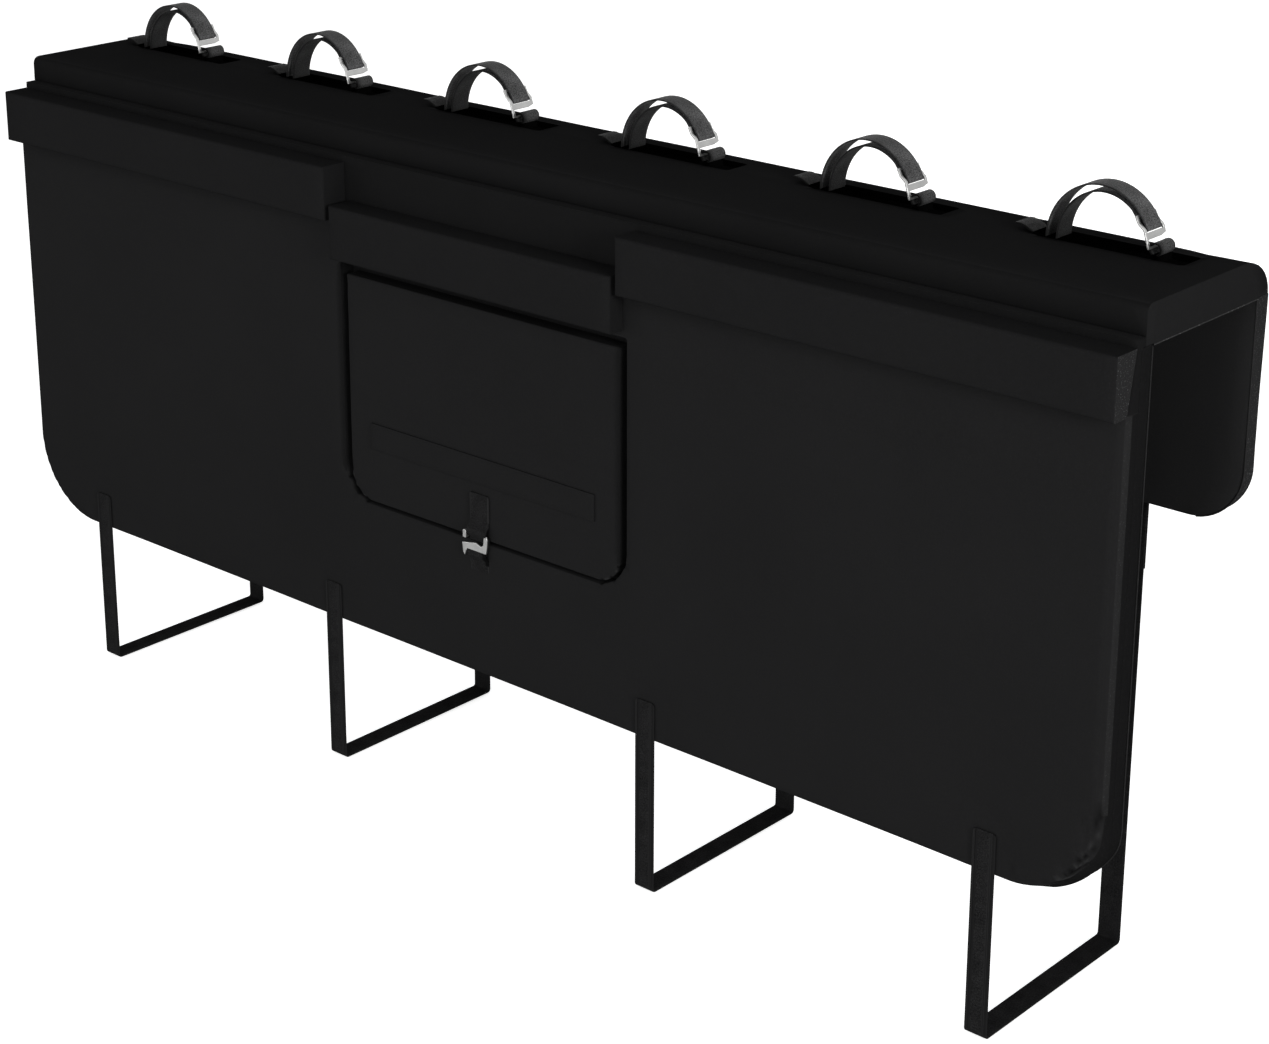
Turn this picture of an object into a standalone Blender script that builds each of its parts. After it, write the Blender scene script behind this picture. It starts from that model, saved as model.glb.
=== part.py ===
# Tailgate bike pad: a padded cover that hangs over a pickup's tailgate, with six straps for bicycle frames.
# Metres, +Z up. The origin is on the underside of the top pad, where it rests on the tailgate, in the
# middle of the pad's length and of the channel that the tailgate fills. +X is along the pad, -Y is outward.
import math

import bmesh
import bpy
from mathutils import Vector

# Driving dimensions
pad_length = 1.550
channel_depth = 0.180        # between the front panel's lining and the rear flap
top_thickness = 0.039
top_front_radius = 0.008
top_back_run = 0.048         # the rounded back edge begins this far in from the rear face
top_front_setback = 0.006    # the top pad's front face lies behind the lining's front face
seam_step = 0.0015           # the underside drops below the seams by this much
piece_gap = 0.0003           # between pieces that touch

lining_thickness = 0.0185
lining_edge = 0.003
panel_thickness = 0.018
panel_bottom = -0.5335
panel_corner_radius = 0.097
panel_edge = 0.007
panel_lip_top = 0.0099       # the panel's upper lip laps the top pad's front face
panel_lip_thickness = 0.0065
panel_step_low = -0.064      # the foam thins to the lip between these two heights
panel_step_high = -0.048

rear_flap_thickness = 0.019
rear_flap_drop = 0.2226
rear_flap_corner_radius = 0.056
rear_flap_edge = 0.006

bumper_height = 0.060
bumper_front = 0.021         # in front of the panel's face
bumper_side_top = 0.0030
bumper_centre_top = -0.0385
bumper_side_inner = 0.2095
bumper_centre_half = 0.2030
bumper_edge = 0.004

window_half = 0.208
window_top = -0.106
window_bottom = -0.379
window_top_radius = 0.012
window_bottom_radius = 0.044
window_groove = 0.009
window_lip = 0.022           # the lining reaches this far in behind the flap's edge
flap_edge = 0.004

patch_half = 0.165
patch_top = -0.282
patch_height = 0.030
patch_thickness = 0.0014
patch_radius = 0.004

webbing_width = 0.0254
webbing_thickness = 0.002
lower_strap_margin = 0.122   # from the pad's end to the outer strap's middle
lower_strap_share = 0.36     # the inner straps stand at this share of the outer ones' distance
lower_strap_bottom = -0.708
lower_strap_lap = 0.043      # sewn over the panel's face
rear_strap_lap = 0.043
rear_tab_drop = 0.077
bend_radius = 0.004

strap_count = 6
strap_left_margin = 0.11525  # from the pad's left end to the middle of the first arch
strap_right_margin = 0.12725
strap_y = 0.0340
strap_webbing = 0.0015
arch_half = 0.0560           # outer surface of the outer layer, from the strap's middle
arch_rise = 0.0595
inner_arch_half = 0.0472     # inner surface of the inner layer
inner_arch_rise = 0.0521
inner_arch_shift = 0.0038
arch_steps = 14
arch_reach = 31              # degrees along each arch where it turns into the buckle
inner_arch_reach = 52
fold_outer = (0.0500, 0.0246)     # where the webbing folds round above the buckle's plate
fold_inner = (0.0473, 0.0231)
slot_left = -0.066
slot_right = 0.089
slot_width = 0.034
slot_middle = 0.0370
slot_depth = 0.006
slot_end_radius = 0.004
base_thickness = 0.002
tab_length = 0.038
loop_radius = 0.0066
loop_sides = 16
loop_middle = (0.0576, 0.0088)
riser_width = 0.008

# The strap's buckle is a bent plate with a slot for the webbing, and a hook below that opens on one side
buckle_width = 0.0345
buckle_bends = ((0.0398, 0.0376), (0.0434, 0.0308), (0.0496, 0.0256), (0.0548, 0.0089))
buckle_thickness = 0.0018
buckle_side_bar = 0.0035
buckle_end_bar = 0.0024
buckle_plate_start = 0.0028  # from the last bend
buckle_plate_end = 0.0090
buckle_hook_lip = 0.0045
buckle_chamfer_run = 0.0080
buckle_chamfer_rise = 0.0020
buckle_corner = 0.002

flap_webbing_width = 0.028
flap_strap_top = -0.318
flap_anchor_bottom = -0.412
flap_buckle_width = 0.039
flap_buckle_length = 0.030
flap_buckle_side = 0.0045
flap_buckle_end = 0.0040
flap_buckle_plate = 0.0085
flap_buckle_thickness = 0.0022
flap_buckle_middle = -0.3785
weave_rise = 0.0052          # the webbing climbs over the buckle's end bar from this far off
weave_lead = 0.0005          # and stays clear of the bars' edges by this much
webbing_gap = 0.001

# Places that follow from them
half_length = pad_length / 2
half_channel = channel_depth / 2
strap_pitch = (pad_length - strap_left_margin - strap_right_margin) / (strap_count - 1)
seam_inset = 0.0005          # the underside stops this far from the lining and the flap
lining_front = -half_channel - lining_thickness
panel_back = lining_front - piece_gap
panel_front = panel_back - panel_thickness
lip_front = panel_back - panel_lip_thickness
top_front = lining_front + top_front_setback
rear_outer = half_channel + rear_flap_thickness
hung_top = seam_step - piece_gap          # upper edge of the lining and of the rear flap
overrun = 0.02                            # how far cutters reach past what they cut
arc_steps = 8
buckle_reach = 0.008                      # the buckle's cutters are this deep
same_place = 1e-5
least_mitre = 0.35


def clear_scene():
    for leftover in list(bpy.data.objects):
        bpy.data.objects.remove(leftover, do_unlink=True)


def material(name, colour, roughness, metallic=0.0):
    made = bpy.data.materials.get(name) or bpy.data.materials.new(name)
    made.use_nodes = True
    shader = made.node_tree.nodes["Principled BSDF"]
    shader.inputs["Base Color"].default_value = (*colour, 1.0)
    shader.inputs["Roughness"].default_value = roughness
    shader.inputs["Metallic"].default_value = metallic
    return made


def pad_fabric():
    return material("pad_fabric", (0.012, 0.012, 0.013), 0.85)


def bumper_fabric():
    return material("bumper_fabric", (0.013, 0.013, 0.014), 0.85)


def lining_fabric():
    return material("lining_fabric", (0.010, 0.010, 0.011), 0.9)


def webbing_material():
    return material("webbing", (0.025, 0.025, 0.026), 0.7)


def buckle_metal():
    return material("buckle_metal", (0.55, 0.55, 0.56), 0.35, 1.0)


def add_object(name, mesh_data, finish):
    mesh = bpy.data.meshes.new(name)
    bmesh.ops.recalc_face_normals(mesh_data, faces=mesh_data.faces)
    mesh_data.to_mesh(mesh)
    mesh_data.free()
    mesh.shade_smooth()
    mesh.set_sharp_from_angle(angle=math.radians(35))
    made = bpy.data.objects.new(name, mesh)
    mesh.materials.append(finish)
    bpy.context.scene.collection.objects.link(made)
    return made


def arc(centre, radius, start_deg, end_deg, steps=arc_steps, rise=None):
    """Points on an arc; with rise given it is an ellipse's, radius wide and rise high."""
    points = []
    for i in range(steps + 1):
        angle = math.radians(start_deg + (end_deg - start_deg) * i / steps)
        points.append((centre[0] + radius * math.cos(angle),
                       centre[1] + (radius if rise is None else rise) * math.sin(angle)))
    return points


def rounded_rectangle(left, right, bottom, top, bottom_radius, top_radius=0.0):
    """Outline with its lower corners rounded, and its upper ones where top_radius is given."""
    points = arc((left + bottom_radius, bottom + bottom_radius), bottom_radius, 180, 270)
    points += arc((right - bottom_radius, bottom + bottom_radius), bottom_radius, 270, 360)
    if top_radius:
        points += arc((right - top_radius, top - top_radius), top_radius, 0, 90, 4)
        points += arc((left + top_radius, top - top_radius), top_radius, 90, 180, 4)
    else:
        points += [(right, top), (left, top)]
    return points


def prism(outline, place, travel):
    """A bmesh of the outline, put in space by place(u, v), pushed along travel."""
    made = bmesh.new()
    corners = [made.verts.new(place(u, v)) for u, v in outline]
    face = made.faces.new(corners)
    grown = bmesh.ops.extrude_face_region(made, geom=[face])
    moved = [item for item in grown["geom"] if isinstance(item, bmesh.types.BMVert)]
    bmesh.ops.translate(made, vec=Vector(travel), verts=moved)
    bmesh.ops.recalc_face_normals(made, faces=made.faces)
    return made


def soften(made, width, chosen, segments=3):
    """Rounds the edges for which chosen(first, second) holds."""
    edges = [e for e in made.edges if chosen(e.verts[0].co, e.verts[1].co)]
    bmesh.ops.bevel(made, geom=edges, offset=width, offset_type="OFFSET", affect="EDGES",
                    segments=segments, profile=0.5, clamp_overlap=True)


def on_plane(axis, value):
    return lambda a, b: max(abs(a[axis] - value), abs(b[axis] - value)) < same_place


def slab_mesh(outline, front, back):
    """A slab in the XZ plane between two depths."""
    return prism(outline, lambda x, z: (x, front, z), (0, back - front, 0))


def rim(depth, square_top=None):
    """Chooses a slab's rim at a depth, without the edge along the height square_top if it is given."""
    flat = on_plane(1, depth)
    if square_top is None:
        return flat
    top = on_plane(2, square_top)
    return lambda a, b: flat(a, b) and not top(a, b)


def as_cutter(tool):
    tool.hide_render = True
    tool.display_type = "WIRE"
    return tool


def cutter(name, made):
    return as_cutter(add_object(name, made, pad_fabric()))


def cut(target, tool, operation="DIFFERENCE"):
    step = target.modifiers.new(f"{operation.lower()}_{tool.name}", "BOOLEAN")
    step.object = tool
    step.operation = operation
    step.solver = "EXACT"


def band(name, path, axis, centre, width, thickness, finish, closed=False):
    """Webbing: a path in a plane across axis, given its thickness, and its width along axis."""
    count = len(path)
    sides = []
    for i in range(count):
        here = Vector(path[i])
        before = Vector(path[i - 1]) if closed or i > 0 else None
        after = Vector(path[(i + 1) % count]) if closed or i < count - 1 else None
        normals = []
        for first, second in ((before, here), (here, after)):
            if first is not None and second is not None:
                run = (second - first).normalized()
                normals.append(Vector((-run.y, run.x)))
        bisector = sum(normals, Vector((0, 0))).normalized()
        reach = thickness / 2 / max(bisector.dot(normals[0]), least_mitre)
        sides.append((here + bisector * reach, here - bisector * reach))

    def place(point, offset):
        if axis == 0:
            return (offset, point.x, point.y)
        return (point.x, offset, point.y)

    made = bmesh.new()
    rows = [tuple(made.verts.new(place(p, centre - width / 2)) for p in pair) for pair in sides]
    pairs = list(zip(rows, rows[1:]))
    if closed:
        pairs.append((rows[-1], rows[0]))
    for (a, b), (c, d) in pairs:
        made.faces.new((a, b, d, c))
    grown = bmesh.ops.extrude_face_region(made, geom=list(made.faces))
    moved = [item for item in grown["geom"] if isinstance(item, bmesh.types.BMVert)]
    travel = Vector((width, 0, 0)) if axis == 0 else Vector((0, width, 0))
    bmesh.ops.translate(made, vec=travel, verts=moved)
    return add_object(name, made, finish)


def bent(points, radius, steps=3):
    """The path with each inner corner rounded."""
    path = [Vector(points[0])]
    for before, corner, after in zip(points, points[1:], points[2:]):
        corner = Vector(corner)
        to_before = (Vector(before) - corner).normalized()
        to_after = (Vector(after) - corner).normalized()
        half_angle = to_before.angle(to_after) / 2
        reach = radius / math.tan(half_angle)
        start = corner + to_before * reach
        end = corner + to_after * reach
        for i in range(steps + 1):
            share = i / steps
            path.append(start.lerp(corner, share).lerp(corner.lerp(end, share), share))
    path.append(Vector(points[-1]))
    return path


def strap_centres():
    first = strap_left_margin - half_length
    return [first + strap_pitch * i for i in range(strap_count)]


def slot_cutter(number, centre):
    low = slot_middle - slot_width / 2
    outline = rounded_rectangle(centre + slot_left, centre + slot_right, low, low + slot_width,
                                slot_end_radius, slot_end_radius)
    made = prism(outline, lambda x, y: (x, y, top_thickness - slot_depth), (0, 0, slot_depth + overrun))
    return cutter(f"slot_cutter_{number}", made)


def make_top_pad():
    """Section across the pad: a flat front face, a full round at the back, a stepped underside."""
    step = half_channel - seam_inset
    section = [(top_front, seam_step)]
    front_edge = (top_front + top_front_radius, top_thickness - top_front_radius)
    section += arc(front_edge, top_front_radius, 180, 90, 4)
    back_edge = (rear_outer - top_back_run, seam_step)
    section += arc(back_edge, top_back_run, 90, 0, rise=top_thickness - seam_step)
    section += [(step, seam_step), (step, 0), (-step, 0), (-step, seam_step)]
    made = prism(section, lambda y, z: (-half_length, y, z), (pad_length, 0, 0))
    pad = add_object("top_pad", made, pad_fabric())
    for number, centre in enumerate(strap_centres(), 1):
        cut(pad, slot_cutter(number, centre))


def make_rear_flap():
    outline = rounded_rectangle(-half_length, half_length, -rear_flap_drop, hung_top,
                                rear_flap_corner_radius)
    flap = slab_mesh(outline, half_channel, rear_outer)
    soften(flap, rear_flap_edge, rim(rear_outer, hung_top))
    soften(flap, lining_edge, rim(half_channel), 2)
    add_object("rear_flap", flap, pad_fabric())


def make_lining():
    outline = rounded_rectangle(-half_length, half_length, panel_bottom, hung_top, panel_corner_radius)
    slab = slab_mesh(outline, lining_front, -half_channel)
    soften(slab, lining_edge, rim(lining_front))
    soften(slab, lining_edge, rim(-half_channel))
    lining = add_object("panel_lining", slab, lining_fabric())
    half = window_half - window_groove - window_lip
    opening = rounded_rectangle(-half, half, window_bottom + window_groove + window_lip,
                                window_top - window_groove - window_lip,
                                window_bottom_radius - window_lip / 2, window_top_radius)
    through = slab_mesh(opening, lining_front - overrun, overrun - half_channel)
    cut(lining, cutter("lining_window_cutter", through))


def panel_face(z):
    """Depth of the front panel's face at a height, where the foam thins towards the lip."""
    if z <= panel_step_low:
        return panel_front
    if z >= panel_step_high:
        return lip_front
    share = (z - panel_step_low) / (panel_step_high - panel_step_low)
    return panel_front + (lip_front - panel_front) * share


def make_front_panel():
    """The outer slab. Its upper lip laps the top pad, and its seam allowance fills in over the lining."""
    seam_back = top_front - piece_gap
    outline = rounded_rectangle(-half_length, half_length, panel_bottom, panel_lip_top,
                                panel_corner_radius)
    slab = slab_mesh(outline, panel_front, seam_back)
    soften(slab, panel_edge, rim(panel_front, panel_lip_top))
    panel = add_object("front_panel", slab, pad_fabric())

    def cut_along(name, section):
        travel = (pad_length + 2 * overrun, 0, 0)
        made = prism(section, lambda y, z: (-half_length - overrun, y, z), travel)
        cut(panel, cutter(name, made))

    lining_top = hung_top + piece_gap
    cut_along("lining_cutter", [
        (panel_back, panel_bottom - overrun), (seam_back + overrun, panel_bottom - overrun),
        (seam_back + overrun, lining_top), (panel_back, lining_top)])
    cut_along("panel_step_cutter", [
        (panel_front - overrun, panel_step_low), (panel_front, panel_step_low),
        (lip_front, panel_step_high), (lip_front, panel_lip_top + overrun),
        (panel_front - overrun, panel_lip_top + overrun)])
    window = rounded_rectangle(-window_half, window_half, window_bottom, window_top,
                               window_bottom_radius, window_top_radius)
    cut(panel, cutter("window_cutter", slab_mesh(window, panel_front - overrun, panel_back + overrun)))


def make_bumper(name, left, right, top):
    """A foam block whose back follows the panel's face."""
    bottom = top - bumper_height
    heights = [top] + [z for z in (panel_step_high, panel_step_low) if bottom < z < top] + [bottom]
    section = [(panel_face(z) - piece_gap, z) for z in heights]
    front = panel_front - bumper_front
    section += [(front, bottom), (front, top)]
    made = prism(section, lambda y, z: (left, y, z), (right - left, 0, 0))
    soften(made, bumper_edge, on_plane(1, front), 2)
    add_object(name, made, bumper_fabric())


def make_access_flap():
    outline = rounded_rectangle(-window_half + window_groove, window_half - window_groove,
                                window_bottom + window_groove, window_top - window_groove,
                                window_bottom_radius - window_groove, window_top_radius / 2)
    flap = slab_mesh(outline, panel_front, panel_back)
    soften(flap, flap_edge, rim(panel_front))
    add_object("access_flap", flap, pad_fabric())
    patch = rounded_rectangle(-patch_half, patch_half, patch_top - patch_height, patch_top,
                              patch_radius, patch_radius)
    patch_back = panel_front - piece_gap
    add_object("flap_patch", slab_mesh(patch, patch_back - patch_thickness, patch_back), pad_fabric())


def make_flap_strap():
    """The webbing goes over the buckle's end bars and behind its middle plate."""
    low = panel_front - piece_gap - webbing_thickness / 2
    frame_back = panel_front - 2 * piece_gap - webbing_thickness
    frame_front = frame_back - flap_buckle_thickness
    high = frame_front - piece_gap - webbing_thickness / 2
    half = flap_buckle_length / 2
    for name, end, side in (("flap_strap", flap_strap_top, 1), ("flap_anchor", flap_anchor_bottom, -1)):
        heights = (half + weave_rise, half + weave_lead, half - flap_buckle_end - weave_lead,
                   flap_buckle_plate / 2 + weave_lead, webbing_gap / 2)
        depths = (low, high, high, low, low)
        path = [(low, end)] + [(y, flap_buckle_middle + side * z) for y, z in zip(depths, heights)]
        band(name, path, 0, 0.0, flap_webbing_width, webbing_thickness, webbing_material())
    outer = flap_buckle_width / 2
    outline = rounded_rectangle(-outer, outer, flap_buckle_middle - half, flap_buckle_middle + half,
                                buckle_corner, buckle_corner)
    buckle = add_object("flap_buckle", slab_mesh(outline, frame_front, frame_back), buckle_metal())
    inner = outer - flap_buckle_side
    for number, side in enumerate((1, -1), 1):
        near = flap_buckle_middle + side * flap_buckle_plate / 2
        far = flap_buckle_middle + side * (half - flap_buckle_end)
        slot = slab_mesh([(-inner, near), (inner, near), (inner, far), (-inner, far)],
                         frame_front - overrun, frame_back + overrun)
        cut(buckle, cutter(f"flap_buckle_cutter_{number}", slot))



def make_lower_straps():
    front = panel_front - piece_gap - webbing_thickness / 2
    rear = rear_outer + piece_gap + webbing_thickness / 2
    bottom = lower_strap_bottom + webbing_thickness / 2
    route = [(front, panel_bottom + lower_strap_lap), (front, bottom), (rear, bottom),
             (rear, -rear_flap_drop + rear_strap_lap)]
    tab_y = rear + piece_gap + webbing_thickness
    outer = half_length - lower_strap_margin
    inner = outer * lower_strap_share
    places = [-outer, -inner, inner, outer]
    for number, x in enumerate(places, 1):
        band(f"lower_strap_{number}", bent(route, bend_radius), 0, x, webbing_width, webbing_thickness,
             webbing_material())
        tab = [(tab_y, -rear_flap_drop + rear_strap_lap), (tab_y, -rear_flap_drop - rear_tab_drop)]
        band(f"rear_tab_{number}", tab, 0, x, webbing_width, webbing_thickness, webbing_material())


def arch_path():
    """Closed path of the doubled webbing: up the outer arch, folded at the buckle, down the inner arch."""
    half = strap_webbing / 2
    foot = -slot_depth + base_thickness + 2 * piece_gap + half
    inner_half = inner_arch_half + half
    inner_rise = inner_arch_rise + half
    outer = arc((0, 0), arch_half - half, 180, arch_reach, arch_steps, arch_rise - half)
    inner = arc((inner_arch_shift, 0), inner_half, inner_arch_reach, 180, arch_steps, inner_rise)
    left_end = (half - arch_half, foot)
    right_end = (inner_arch_shift - inner_half, foot)
    return [left_end, *outer, fold_outer, fold_inner, *inner, right_end]


def make_top_strap(number, centre):
    def lifted(points):
        return [(centre + p[0], top_thickness + p[1]) for p in points]

    band(f"top_strap_{number}", lifted(arch_path()), 1, strap_y, webbing_width, strap_webbing,
         webbing_material(), closed=True)
    path = [Vector(p) for p in lifted(buckle_bends)]
    buckle = band(f"strap_buckle_{number}", path, 1, strap_y, buckle_width, buckle_thickness,
                  buckle_metal())
    last_bend, end = path[2:]
    run = (end - last_bend).normalized()
    half = buckle_width / 2
    inner = half - buckle_side_bar
    first_run = (path[1] - path[0]).normalized()
    slot = [path[0] + first_run * buckle_end_bar, path[1], last_bend,
            last_bend + run * buckle_plate_start]
    made = band(f"buckle_slot_{number}", slot, 1, strap_y, 2 * inner, buckle_reach, buckle_metal())
    cut(buckle, as_cutter(made))
    outward = Vector((-run.y, run.x))

    def place(u, v):
        point = last_bend + run * v - outward * buckle_reach / 2
        return (point.x, strap_y + u, point.y)

    length = (end - last_bend).length
    lip = length - buckle_hook_lip
    hook = [(-inner, length - buckle_end_bar), (-inner, buckle_plate_end),
            (half - buckle_chamfer_run, buckle_plate_end),
            (half, buckle_plate_end - buckle_chamfer_rise),
            (half + buckle_reach, buckle_plate_end - buckle_chamfer_rise), (half + buckle_reach, lip),
            (inner, lip), (inner, length - buckle_end_bar)]
    travel = outward * buckle_reach
    cut(buckle, cutter(f"buckle_hook_{number}", prism(hook, place, (travel.x, 0, travel.y))))
    make_base(number, centre)


def make_base(number, centre):
    """Webbing sewn in the slot, with a loop at its end that holds the buckle's lower bar."""
    loop = Vector(loop_middle) + Vector((0, top_thickness))
    floor = top_thickness - slot_depth + piece_gap
    strip_top = floor + base_thickness

    def across(outline, extra=0.0):
        """The outline in the strap's plane, as wide as the webbing and extra on each side."""
        near = strap_y - webbing_width / 2 - extra
        return prism(outline, lambda x, z: (centre + x, near, z), (0, webbing_width + 2 * extra, 0))

    def box(left, right, bottom, top):
        return across([(left, bottom), (right, bottom), (right, top), (left, top)])

    def disc(radius, extra=0.0):
        return across(arc(loop, radius, 0, 360 - 360 / loop_sides, loop_sides - 1), extra)

    strip = box(slot_left + slot_end_radius, slot_right - slot_end_radius, floor, strip_top)
    base = add_object(f"strap_base_{number}", strip, webbing_material())
    riser = box(loop.x - riser_width / 2, loop.x + riser_width / 2, floor + base_thickness / 2,
                loop.y - loop_radius + strap_webbing / 2)
    cut(base, cutter(f"riser_{number}", riser), "UNION")
    cut(base, cutter(f"loop_{number}", disc(loop_radius)), "UNION")
    cut(base, cutter(f"loop_hole_{number}", disc(loop_radius - strap_webbing, overrun)))
    tab_right = slot_left - slot_end_radius / 2
    tab_bottom = top_thickness + piece_gap
    tab = box(tab_right - tab_length, tab_right, tab_bottom, tab_bottom + base_thickness)
    add_object(f"strap_tab_{number}", tab, webbing_material())


clear_scene()
make_top_pad()
make_rear_flap()
make_lining()
make_front_panel()
make_bumper("bumper_left", -half_length, -bumper_side_inner, bumper_side_top)
make_bumper("bumper_right", bumper_side_inner, half_length, bumper_side_top)
make_bumper("bumper_centre", -bumper_centre_half, bumper_centre_half, bumper_centre_top)
make_access_flap()
make_flap_strap()
make_lower_straps()
for strap_number, strap_centre in enumerate(strap_centres(), 1):
    make_top_strap(strap_number, strap_centre)
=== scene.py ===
# Tailgate bike pad: a padded cover on webbing straps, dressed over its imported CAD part.
# Metres, +Z up, -Y is the outward face, +X runs along the pad.
import math
import bmesh
import bpy
from mathutils import Matrix, Quaternion, Vector, noise


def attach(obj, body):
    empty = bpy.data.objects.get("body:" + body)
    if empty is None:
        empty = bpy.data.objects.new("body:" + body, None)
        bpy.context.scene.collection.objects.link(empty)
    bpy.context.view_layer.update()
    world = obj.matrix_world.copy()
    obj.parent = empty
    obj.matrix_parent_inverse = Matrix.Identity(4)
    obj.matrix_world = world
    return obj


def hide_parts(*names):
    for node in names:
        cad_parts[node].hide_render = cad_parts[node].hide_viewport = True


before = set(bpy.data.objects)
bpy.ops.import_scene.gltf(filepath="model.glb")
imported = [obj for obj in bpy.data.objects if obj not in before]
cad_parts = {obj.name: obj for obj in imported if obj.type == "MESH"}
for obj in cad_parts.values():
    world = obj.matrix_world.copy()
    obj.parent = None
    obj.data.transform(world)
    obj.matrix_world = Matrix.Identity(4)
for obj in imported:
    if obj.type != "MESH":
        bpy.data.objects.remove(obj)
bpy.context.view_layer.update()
scene = bpy.context.scene


def newGroup(name, ins, outs):
    group = bpy.data.node_groups.new(name, "ShaderNodeTree")
    for label, kind, value in ins:
        made = group.interface.new_socket(label, in_out="INPUT", socket_type=kind)
        if value is not None:
            made.default_value = value
    for label, kind in outs:
        group.interface.new_socket(label, in_out="OUTPUT", socket_type=kind)
    return group, group.nodes.new("NodeGroupInput"), group.nodes.new("NodeGroupOutput")


def joined(tree, target, value):
    if isinstance(value, (int, float)):
        target.default_value = value
    else:
        tree.links.new(value, target)


def mathNode(tree, operation, first, second=None, third=None):
    node = tree.nodes.new("ShaderNodeMath")
    node.operation = operation
    for target, value in zip(node.inputs, (first, second, third)):
        if value is not None:
            joined(tree, target, value)
    return node.outputs[0]


def rangeNode(tree, value, low, high, outLow, outHigh):
    node = tree.nodes.new("ShaderNodeMapRange")
    for target, item in zip(node.inputs, (value, low, high, outLow, outHigh)):
        joined(tree, target, item)
    return node.outputs[0]


def noiseNode(tree, vector, scale, detail=3.0, rough=0.5):
    node = tree.nodes.new("ShaderNodeTexNoise")
    tree.links.new(vector, node.inputs["Vector"])
    node.inputs["Scale"].default_value = scale
    node.inputs["Detail"].default_value = detail
    node.inputs["Roughness"].default_value = rough
    return node.outputs["Fac"]


def newObject(name, bm):
    mesh = bpy.data.meshes.new(name)
    bm.to_mesh(mesh)
    bm.free()
    thing = bpy.data.objects.new(name, mesh)
    scene.collection.objects.link(thing)
    return thing


view = {
    "place": (1.8786, -2.0242, 0.7015),
    "azimuth": 0.7305,       # turned from +Y towards -X
    "elevation": 0.3058,     # looking down
    "roll": -0.0008,
    "focal": 2677.8,         # in pixels of the 1269 wide frame
    "centre": (604.75, 329.6),
    "frame": (1269, 1044),
}


def makeCamera(spec):
    wide, high = spec["frame"]
    data = bpy.data.cameras.new("viewCamera")
    data.sensor_width = 36
    data.lens = spec["focal"] / wide * 36
    data.shift_x = 0.5 - spec["centre"][0] / wide
    data.shift_y = (spec["centre"][1] - high / 2) / wide
    data.clip_end = 50
    camera = bpy.data.objects.new("viewCamera", data)
    az, el = spec["azimuth"], spec["elevation"]
    ahead = Vector((-math.sin(az) * math.cos(el), math.cos(az) * math.cos(el), -math.sin(el)))
    camera.rotation_mode = "QUATERNION"
    camera.rotation_quaternion = ahead.to_track_quat("-Z", "Y") @ Quaternion((0, 0, 1), spec["roll"])
    camera.location = spec["place"]
    scene.collection.objects.link(camera)
    scene.camera = camera


studio = {
    "floor": -0.7095,
    "floorSize": 40,
    "floorGrey": 0.86,
    "floorLift": 0.72,
    "ambient": 0.43,         # what the world gives the object
    "key": {"place": (0.2, -4.6, 0.1), "size": 3.0, "power": 92},
    "side": {"place": (4.2, -1.4, 0.9), "size": 1.4, "power": 105},
    "fill": {"place": (-3.4, -3.0, -0.1), "size": 2.4, "power": 46},
    "rear": {"place": (-0.6, 4.6, -0.3), "size": 2.0, "power": 95},
    "aim": (0, 0, -0.25),
}


def whiteForEye(tree, lit):
    # camera, mirror and glass rays meet plain white, and every other ray meets what lights the object
    path = tree.nodes.new("ShaderNodeLightPath")
    seen = mathNode(tree, "MAXIMUM", path.outputs["Is Camera Ray"], path.outputs["Is Transmission Ray"])
    seen = mathNode(tree, "MAXIMUM", seen, path.outputs["Is Glossy Ray"])
    white = tree.nodes.new("ShaderNodeBackground")
    white.inputs["Strength"].default_value = 1.0
    white.inputs["Color"].default_value = (1, 1, 1, 1)
    mix = tree.nodes.new("ShaderNodeMixShader")
    tree.links.new(seen, mix.inputs["Fac"])
    tree.links.new(lit.outputs[0], mix.inputs[1])
    tree.links.new(white.outputs[0], mix.inputs[2])
    return mix


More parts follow.
